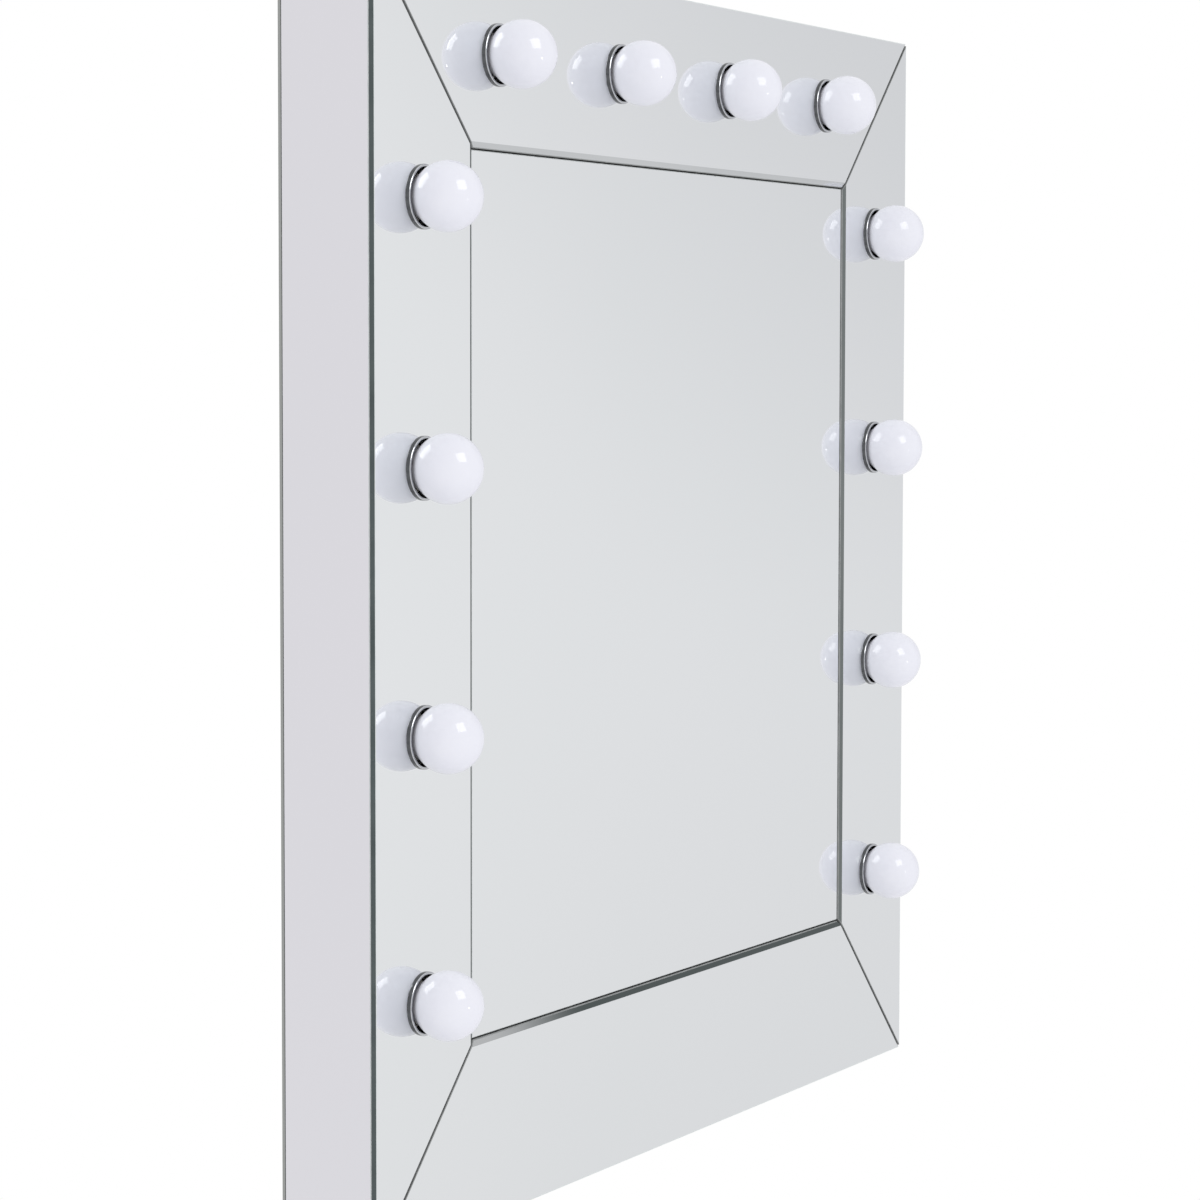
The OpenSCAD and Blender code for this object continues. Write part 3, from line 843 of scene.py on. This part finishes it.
def keyhole_plates():
    """Pressed plates with a rolled edge round each keyhole, flush in the back panel."""
    edge = 0.25 * MM
    screw_x = 19.0 * MM
    opening = keyhole()
    for i, (low, high) in enumerate(sorted(islands("keyhole_plates"), key=lambda box: box[0].x)):
        thick = high.y - low.y
        outer = rounded(high.x - low.x, high.z - low.z, 1.5 * MM)
        bm = bmesh.new()
        sides = stack(bm, slab(outer, thick, edge), [0] * 3)
        holes = [stack(bm, slab(opening, thick, edge, hole=True), [0] * 3)]
        for x in (-screw_x, screw_x):
            head, shank = (circle((x, 0), r, 48) for r in (SCREW_HEAD_R, SCREW_R))
            levels = [(head, 0), (head, -SCREW_SINK), (shank, -SCREW_SINK - SCREW_HEAD), (shank, -thick)]
            holes.append(stack(bm, levels, [0] * 3))
        cap(bm, sides[0], [hole[0] for hole in holes], 0)
        cap(bm, sides[-1], [hole[-1] for hole in holes], 0)
        mesh = mesh_of(bm, "keyhole_plate", [ZINC], sharp=30)
        name = f"keyhole_plate_{i + 1}"
        placed(name, mesh, "cabinet", "zinc_plated_steel", in_back(low, high), "keyhole_plates")


# ---- the switch and the bush, drawn with heights out of the bottom glass ----


def switch_housing():
    """A snap-in housing: bezel with soft corners, well for the rocker and two blades."""
    plastic, metal = range(2)
    bezel = (23.0 * MM, 17.0 * MM)
    bezel_corner = 1.7 * MM
    bezel_height = 1.5 * MM
    soft = 0.5 * MM
    well = (16.8 * MM, 10.6 * MM)
    well_corner = 0.8 * MM
    well_depth = 8.0 * MM
    chamfer = 0.3 * MM
    body_depth = 22.0 * MM
    blade = (4.8 * MM, 0.8 * MM)
    blade_x = 5.0 * MM
    blade_length = 8.0 * MM
    core = [side - 2 * soft for side in bezel]
    brow = [
        (rounded(core[0] + 2 * r, core[1] + 2 * r, bezel_corner - soft + r), bezel_height - soft + h)
        for r, h in arc((0, 0), soft, 90, 0, 4)]
    mouth = rounded(well[0] + 2 * chamfer, well[1] + 2 * chamfer, well_corner + chamfer)
    levels = [
        (rounded(*well, well_corner), -well_depth), (rounded(*well, well_corner), bezel_height - chamfer),
        (mouth, bezel_height), *brow, (rounded(*bezel, bezel_corner), 0),
        (rounded(*SWITCH_BODY, SWITCH_CORNER), 0), (rounded(*SWITCH_BODY, SWITCH_CORNER), MM - body_depth),
        (rounded(SWITCH_BODY[0] - 2 * MM, SWITCH_BODY[1] - 2 * MM, SWITCH_CORNER), -body_depth)]
    bm = bmesh.new()
    rings = stack(bm, levels, [plastic] * len(levels))
    cap(bm, rings[0], [], plastic)
    cap(bm, rings[-1], [], plastic)
    for x in (-blade_x, blade_x):
        tab = rounded(*blade, 0.2 * MM, (x, 0))
        narrow = rounded(blade[0] - 1.6 * MM, blade[1] - 0.3 * MM, 0.2 * MM, (x, 0))
        ends = stack(bm, [
            (tab, -body_depth), (tab, MM - blade_length - body_depth),
            (narrow, -blade_length - body_depth)], [metal] * 2)
        cap(bm, ends[0], [], metal)
        cap(bm, ends[-1], [], metal)
    place = Matrix.Translation((SWITCH.x, SWITCH.y, -HALF)) @ OUT_OF_BOTTOM
    mesh = mesh_of(bm, "switch_housing_visual", [BLACK_MATT, BRASS], sharp=30)
    placed("switch_body", mesh, "cabinet", "switch_plastic", place, "switch_housing")


def switch_rocker():
    """The rocker, dished on its face and set at its off tilt, with stub pins at its sides.

    It is drawn from its side, with its width along Z.
    """
    joint = next(j for j in frame["joints"] if j["name"] == "switch_rock")
    pivot = Vector(joint["pos_m"])
    tilt = math.radians(10)
    half_length = 7.4 * MM
    half_width = 5.1 * MM
    end_top = 4.3 * MM
    end_foot = -0.3 * MM
    dish_pull = 2.1 * MM
    heel = 2.0 * MM
    soft = 0.35 * MM
    outline = [Vector(p) for p in (
        (heel, -heel), (half_length, end_foot),
        *curve((half_length, end_top), (0, dish_pull), (-half_length, end_top), 16),
        (-half_length, end_foot), (-heel, -heel))]
    bm = bmesh.new()
    levels = [(inset(outline, soft), half_width), (outline, half_width - soft),
              (outline, soft - half_width), (inset(outline, soft), -half_width)]
    rings = stack(bm, levels, [0] * 3)
    cap(bm, rings[0], [], 0)
    cap(bm, rings[-1], [], 0)
    pin_r = 1.15 * MM
    pin_end = SWITCH_BODY[1] / 2 - 0.1 * MM
    for side in (-1, 1):
        lathe(bm, [(0, side * (half_width - MM)), (pin_r, side * (half_width - MM)),
                   (pin_r, side * (pin_end - 0.2 * MM)), (pin_r - 0.2 * MM, side * pin_end),
                   (0, side * pin_end)], 0, 48)
    face_down = Matrix(((1, 0, 0, 0), (0, 0, 1, 0), (0, -1, 0, 0), (0, 0, 0, 1)))
    place = Matrix.Translation(pivot) @ Matrix.Rotation(-tilt, 4, "Y") @ face_down
    mesh = mesh_of(bm, "rocker_visual", [BLACK_GLOSS], sharp=30)
    placed("rocker_button", mesh, "rocker", "rocker_plastic", place, "switch_rocker")


def cable_bush():
    """The rubber bush: rounded flange outside, neck through the glass, and a lip inside."""
    low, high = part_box("cable_bush")
    flange_r = (high.x - low.x) / 2
    flange = -HALF - low.z
    inside = -HALF - high.z
    lip_r = 7.8 * MM
    lip = 2.5 * MM
    bore_r = 4.0 * MM
    soft = 0.8 * MM
    bm = bmesh.new()
    lathe(bm, [
        (bore_r, flange - soft), *arc((bore_r + soft, flange - soft), soft, 180, 90, 6),
        *arc((flange_r - soft, flange - soft), soft, 90, 0, 6), (flange_r, 0), (BUSH_R, 0),
        (BUSH_R, inside + lip), (lip_r, inside + lip), (BUSH_R, inside), (bore_r, inside)], closed=True)
    place = Matrix.Translation((BUSH.x, BUSH.y, -HALF)) @ OUT_OF_BOTTOM
    placed("bush", mesh_of(bm, "bush", [RUBBER]), "cabinet", "bush_rubber", place, "cable_bush")


# ---- studio ----


def camera():
    """The photographed view: from the left of the mirror, a little above its middle."""
    corner = Vector((-HALF, FRONT_Y, -HALF))
    mirror_heights_away = Vector((-2.3006, -1.4190, 0.6817))
    place = corner + 2 * HALF * mirror_heights_away
    yaw, pitch, roll = (math.radians(a) for a in (61.92, -3.71, 0.09))
    forward = Vector((math.sin(yaw) * math.cos(pitch), math.cos(yaw) * math.cos(pitch), math.sin(pitch)))
    right = Vector((math.cos(yaw), -math.sin(yaw), 0))
    up = right.cross(forward)
    turn = Matrix((right, up, -forward)).transposed() @ Matrix.Rotation(roll, 3, "Z")
    data = bpy.data.cameras.new("camera")
    data.sensor_width = 36.0
    data.lens = 107.87
    data.clip_end = 200
    made = bpy.data.objects.new("camera", data)
    made.matrix_world = Matrix.Translation(place) @ turn.to_4x4()
    bpy.context.scene.collection.objects.link(made)
    bpy.context.scene.camera = made


def toward(azimuth, elevation):
    """A direction, with azimuth in degrees from straight out of the front towards the right."""
    a, e = math.radians(azimuth), math.radians(elevation)
    return Vector((math.sin(a) * math.cos(e), -math.cos(a) * math.cos(e), math.sin(e)))


def pale_room():
    """A white room: glass and metal see soft darker patches in it, which light nothing themselves.

    A patch has its middle, the angles from there at which it starts and is full, and its shade.
    """
    patches = (
        (toward(68, 4), 41, 14, (0.91, 0.915, 0.925)),
        (toward(92, -2), 42, 10, (0.86, 0.86, 0.87)),
        (toward(68, -30), 27, 12, (0.93, 0.93, 0.93)),
        (toward(76, 16), 24, 6, (0.84, 0.84, 0.85)),
        (toward(-118, 8), 55, 12, (0.813, 0.79, 0.83)))
    world = bpy.data.worlds.new("room")
    bpy.context.scene.world = world
    world.use_nodes = True
    tree = world.node_tree
    direction = tree.nodes.new("ShaderNodeTexCoord").outputs["Generated"]
    colour = None
    backdrop = (1, 1, 1, 1)
    for centre, outer, inner, shade in patches:
        dot = tree.nodes.new("ShaderNodeVectorMath")
        dot.operation = "DOT_PRODUCT"
        dot.inputs[1].default_value = centre
        spread = tree.nodes.new("ShaderNodeMapRange")
        spread.interpolation_type = "SMOOTHSTEP"
        spread.inputs["From Min"].default_value = math.cos(math.radians(outer))
        spread.inputs["From Max"].default_value = math.cos(math.radians(inner))
        mix = tree.nodes.new("ShaderNodeMix")
        mix.data_type = "RGBA"
        mix.blend_type = "MULTIPLY"
        mix.inputs[FIRST_COLOUR].default_value = backdrop
        mix.inputs[SECOND_COLOUR].default_value = (*shade, 1)
        tree.links.new(direction, dot.inputs[0])
        tree.links.new(dot.outputs["Value"], spread.inputs["Value"])
        tree.links.new(spread.outputs["Result"], mix.inputs["Factor"])
        if colour:
            tree.links.new(colour, mix.inputs[FIRST_COLOUR])
        colour = mix.outputs[MIXED_COLOUR]
    rays = tree.nodes.new("ShaderNodeLightPath").outputs
    gloss = tree.nodes.new("ShaderNodeMix")
    gloss.data_type = "RGBA"
    gloss.inputs[FIRST_COLOUR].default_value = (0.98, 0.98, 0.985, 1)
    tree.links.new(colour, gloss.inputs[SECOND_COLOUR])
    tree.links.new(rays["Is Glossy Ray"], gloss.inputs["Factor"])
    seen = tree.nodes.new("ShaderNodeMix")
    seen.data_type = "RGBA"
    seen.inputs[SECOND_COLOUR].default_value = backdrop
    tree.links.new(gloss.outputs[MIXED_COLOUR], seen.inputs[FIRST_COLOUR])
    tree.links.new(rays["Is Camera Ray"], seen.inputs["Factor"])
    tree.links.new(seen.outputs[MIXED_COLOUR], tree.nodes["Background"].inputs["Color"])


def softbox(name, direction, distance, size, radiance, gloss_only=False, shines_on=None):
    """A square lamp that faces the mirror's middle and isn't seen by the camera itself.

    It either lights everything softly or shows only in gloss, and shines_on keeps it to a
    collection.
    """
    data = bpy.data.lights.new(name, "AREA")
    data.size = size
    data.energy = radiance * math.pi * size**2
    lamp = bpy.data.objects.new(name, data)
    place = direction.normalized() * distance
    lamp.matrix_world = Matrix.Translation(place) @ place.to_track_quat("Z", "Y").to_matrix().to_4x4()
    lamp.visible_camera = False
    lamp.visible_diffuse = not gloss_only
    lamp.visible_glossy = gloss_only
    if shines_on:
        lamp.light_linking.receiver_collection = shines_on
    bpy.context.scene.collection.objects.link(lamp)


def polished():
    """The lamps and their rings, which catch the smallest light."""
    made = bpy.data.collections.new("polished")
    for piece in bpy.data.objects:
        if piece.name.startswith(("globe_", "cap_", "ring_")):
            made.objects.link(piece)
    return made


def floor():
    """A pale floor that fades into the room."""
    reach = 0.95
    level = -1.0
    bm = bmesh.new()
    lathe(bm, [(0, 0), (0.5 * reach, 0), (reach, 0)], 0, 64)
    look = Material("floor", Roughness=0.85)
    look.colours(look.noise(1.5, 3.0), (0.90, 0.90, 0.90), (0.92, 0.92, 0.92))
    fade = look.tree.nodes.new("ShaderNodeTexGradient")
    fade.gradient_type = "SPHERICAL"
    look.tree.links.new(look.stretched((1 / reach,) * 3), fade.inputs["Vector"])
    look.drive("Alpha", fade.outputs["Fac"])
    made = bpy.data.objects.new("floor", mesh_of(bm, "floor", [look.material]))
    made.location.z = level
    bpy.context.scene.collection.objects.link(made)


bpy.context.scene.view_settings.view_transform = "Standard"
frame_mirrors()
centre_mirror()
side_mirrors()
lamps()
wood_screws()
keyhole_plates()
switch_housing()
switch_rocker()
cable_bush()
coat(BOARD, "front_board")
coat(FIBREBOARD, *(f"rail_{side}" for side in ("left", "right", "top", "bottom")), "hanging_batten")
coat(HARDBOARD, "back_panel")
coat(BROWN, "wiring_loom")
coat(CLEAR_WHITE, "terminal_block")
camera()
pale_room()
softbox("fill", Vector((-0.25, -0.93, 0.14)), distance=2.6, size=1.2, radiance=0.9)
softbox("glint", Vector((-0.25, -0.79, 0.56)), distance=2.5, size=1.2, radiance=5.0, gloss_only=True)
softbox("spark", Vector((0.03, -0.99, -0.1)), distance=3.0, size=0.25, radiance=12.0,
        gloss_only=True, shines_on=polished())
floor()
